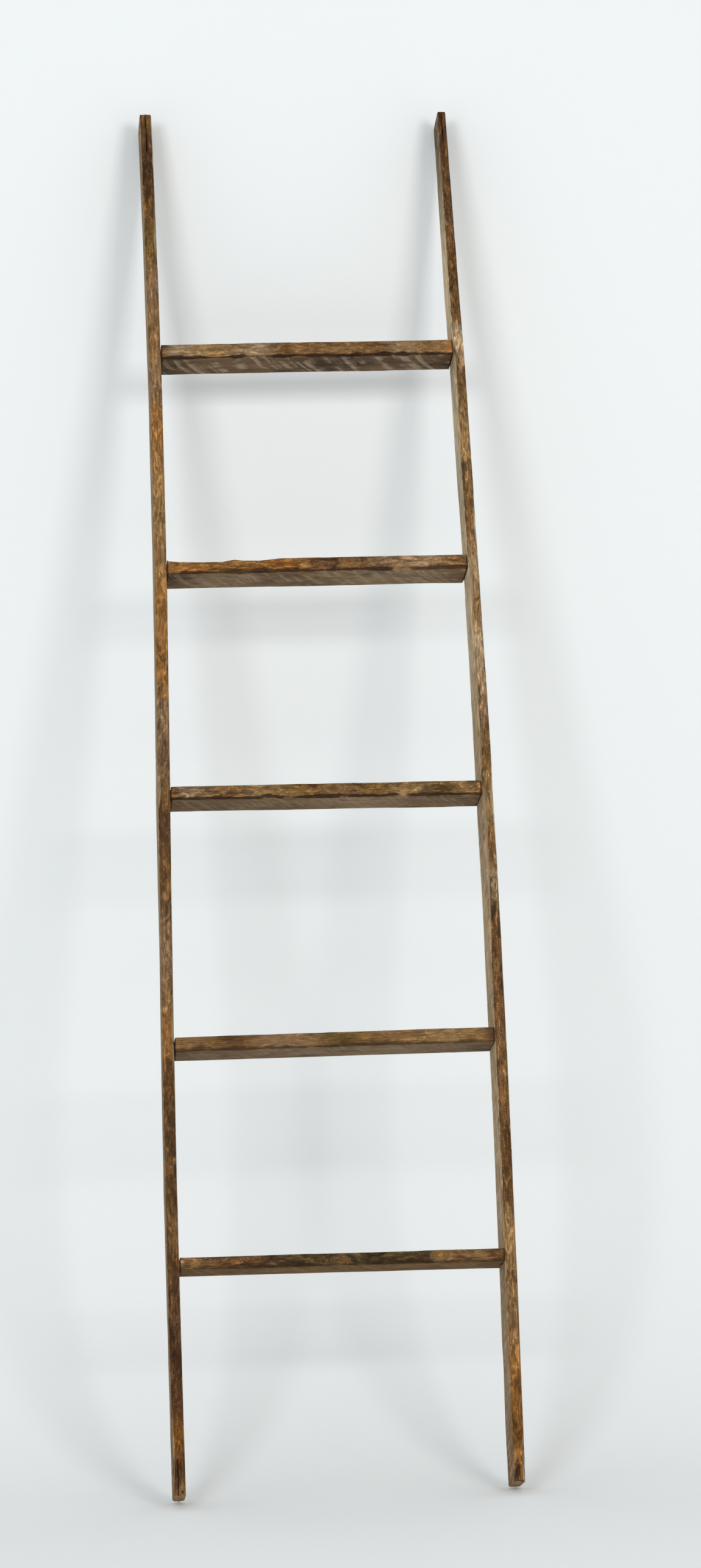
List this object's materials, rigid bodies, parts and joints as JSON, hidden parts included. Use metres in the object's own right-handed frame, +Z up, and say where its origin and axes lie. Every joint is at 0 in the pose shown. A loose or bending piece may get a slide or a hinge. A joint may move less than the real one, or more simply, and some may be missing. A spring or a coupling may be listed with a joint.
{
  "type": "leaning quilt ladder",
  "caption": "Leaning wooden ladder for hanging quilts: two bowed rails of old lath with flat rungs butted and screwed between them.",
  "frame": {"origin": "middle of the space that the leaning ladder takes up, on the floor", "axes": "+Z up, +X to the right seen from in front, +Y back towards the wall that it leans on"},
  "size_m": [0.4401, 0.5986, 1.7597],
  "materials": {
    "left_rail_wood": "old rough-sawn lath, brown and mottled, paler grey on the sawn sides",
    "right_rail_wood": "old rough-sawn lath, brown with greyish scuffs, paler grey on the sawn sides",
    "rung_wood": "old rough-sawn lath, brown weathered front edges and grey sawn faces",
    "screw_steel": "dulled zinc-plated steel"
  },
  "bodies": {
    "root": {"left_rail": "left_rail_wood", "right_rail": "right_rail_wood", "rung_1": "rung_wood", "rung_2": "rung_wood", "rung_3": "rung_wood", "rung_4": "rung_wood", "rung_5": "rung_wood", "rung_1_left_front_screw": "screw_steel", "rung_1_left_back_screw": "screw_steel", "rung_1_right_front_screw": "screw_steel", "rung_1_right_back_screw": "screw_steel", "rung_2_left_front_screw": "screw_steel", "rung_2_left_back_screw": "screw_steel", "rung_2_right_front_screw": "screw_steel", "rung_2_right_back_screw": "screw_steel", "rung_3_left_front_screw": "screw_steel", "rung_3_left_back_screw": "screw_steel", "rung_3_right_front_screw": "screw_steel", "rung_3_right_back_screw": "screw_steel", "rung_4_left_front_screw": "screw_steel", "rung_4_left_back_screw": "screw_steel", "rung_4_right_front_screw": "screw_steel", "rung_4_right_back_screw": "screw_steel", "rung_5_left_front_screw": "screw_steel", "rung_5_left_back_screw": "screw_steel", "rung_5_right_front_screw": "screw_steel", "rung_5_right_back_screw": "screw_steel"}
  },
  "joints": []
}
